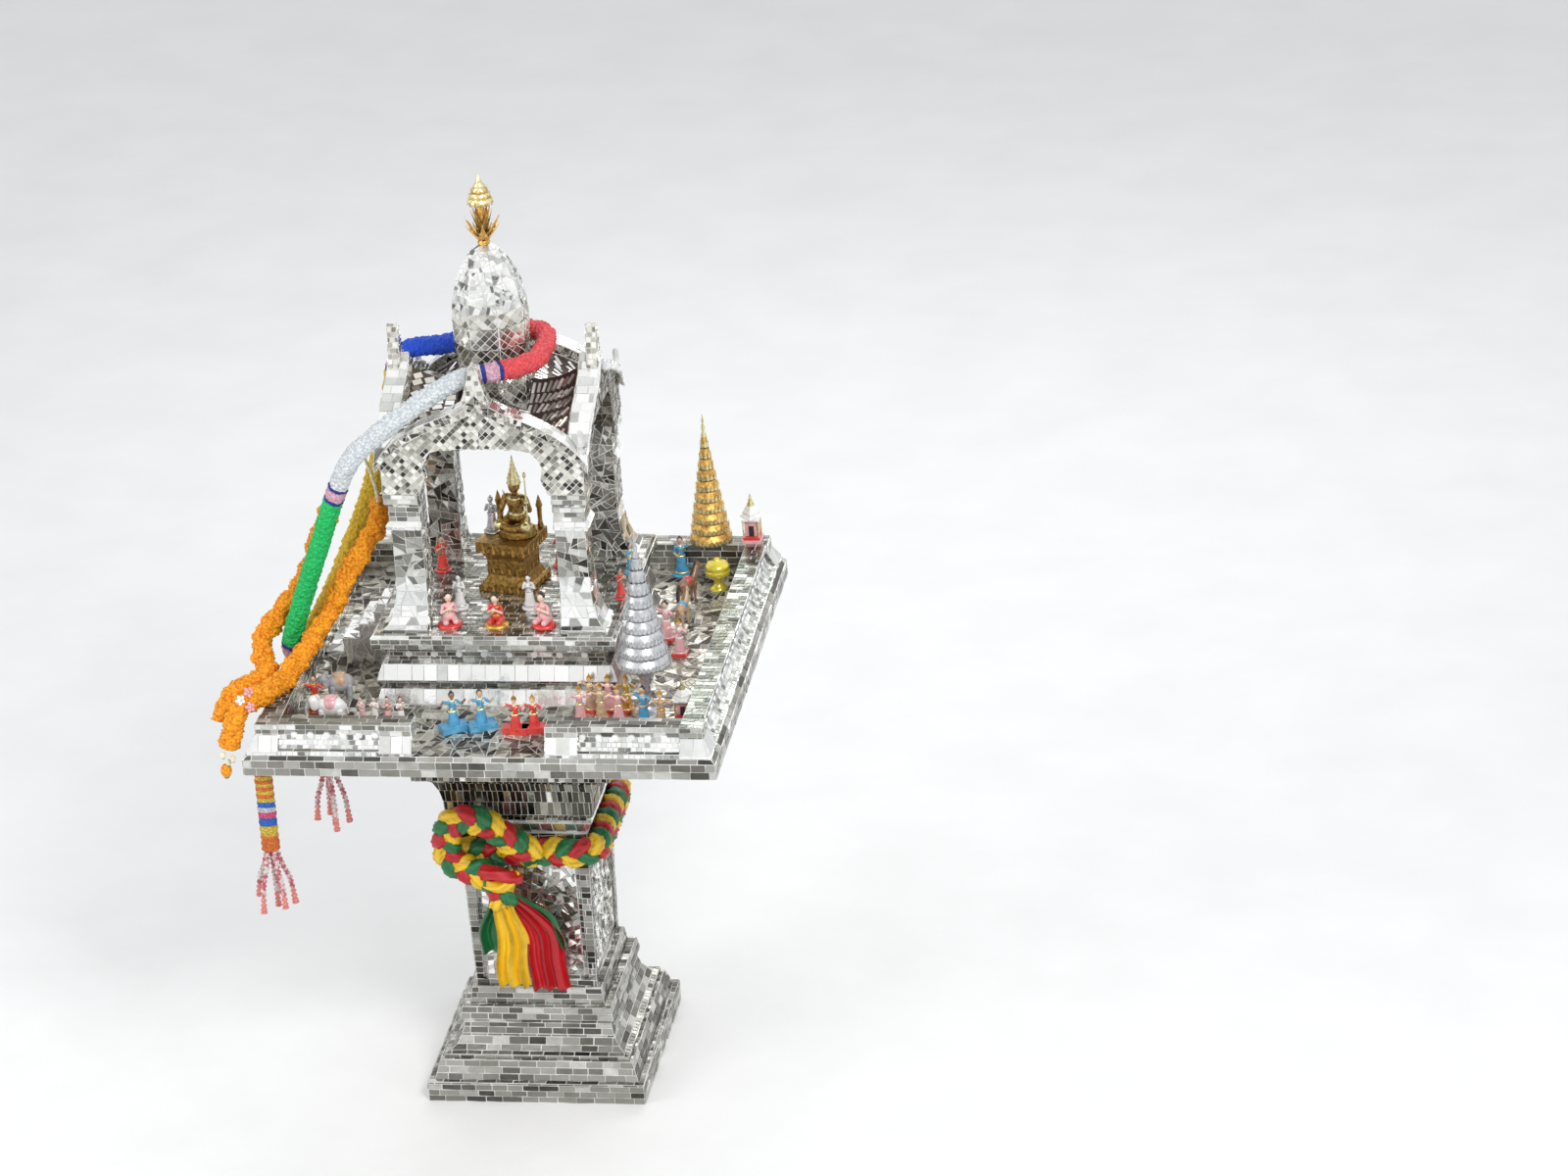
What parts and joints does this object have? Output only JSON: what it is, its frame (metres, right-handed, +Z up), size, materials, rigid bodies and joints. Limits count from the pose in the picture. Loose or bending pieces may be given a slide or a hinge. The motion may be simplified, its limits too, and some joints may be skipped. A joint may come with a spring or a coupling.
{
  "type": "spirit house",
  "caption": "Mirror-tiled spirit house: open four-gabled pavilion with a bullet-shaped tower on a railed platform and square pedestal, dressed with garlands, sash and offerings.",
  "frame": {"origin": "centre of the pedestal's square foot, on the ground", "axes": "+Z up through the tower; the front of the pavilion, with the gap in the platform rail, faces -Y; +X to the right of a person who faces the front"},
  "size_m": [1.4099, 1.311, 2.694],
  "materials": {
    "mirror_mosaic": "small mirror tiles in pale grout, some blown and dull",
    "cut_mirror": "small cut mirror pieces, cream and grey",
    "ribbed_mirror": "ribbed mirror strips, purple grey",
    "pale_mirror": "bright white mirror chips",
    "lattice_mirror": "diamond mirror tiles in a pale lattice",
    "gilt": "worn gilt paint",
    "silver": "dull silver",
    "painted_figure": "painted resin",
    "white_plastic": "painted resin",
    "brown_plastic": "painted resin",
    "yellow_lacquer": "yellow lacquer",
    "pink_plastic": "painted",
    "net_yarn": "woven net of bright yarns in bands",
    "marigold": "ruffled orange cloth flowers",
    "pendant_yarn": "beads and threads",
    "sash_cloth": "satin, red, yellow and green"
  },
  "bodies": {
    "root": {"pedestal_foot": "mirror_mosaic", "pedestal_shaft": "mirror_mosaic", "pedestal_capital": "mirror_mosaic", "platform_slab": "mirror_mosaic", "front_rail_left": "mirror_mosaic", "front_rail_right": "mirror_mosaic", "left_rail": "mirror_mosaic", "right_rail": "mirror_mosaic", "back_rail": "mirror_mosaic", "plinth": "mirror_mosaic", "plinth_top": "mirror_mosaic", "pier_front_left": "mirror_mosaic", "pier_front_right": "mirror_mosaic", "pier_back_left": "mirror_mosaic", "pier_back_right": "mirror_mosaic", "side_steps": "mirror_mosaic", "gable_front": "cut_mirror", "gable_back": "cut_mirror", "gable_left": "cut_mirror", "gable_right": "cut_mirror", "roof_core": "ribbed_mirror", "roof_front": "ribbed_mirror", "roof_back": "ribbed_mirror", "roof_left": "ribbed_mirror", "roof_right": "ribbed_mirror", "verge_boards": "pale_mirror", "gable_horns": "pale_mirror", "corner_finials": "pale_mirror", "prang": "lattice_mirror", "gilt_finial": "gilt", "throne": "gilt", "seated_deity": "gilt", "gold_cone": "gilt", "attendants": "silver", "silver_cone": "silver", "kneeling_figures": "painted_figure", "dancers": "painted_figure", "elephants": "white_plastic", "horses": "brown_plastic", "gold_bowl": "yellow_lacquer", "model_shrines": "pink_plastic", "net_garland": "net_yarn", "marigold_garland": "marigold", "pendant_garlands": "pendant_yarn", "neck_sash": "sash_cloth"}
  },
  "joints": []
}
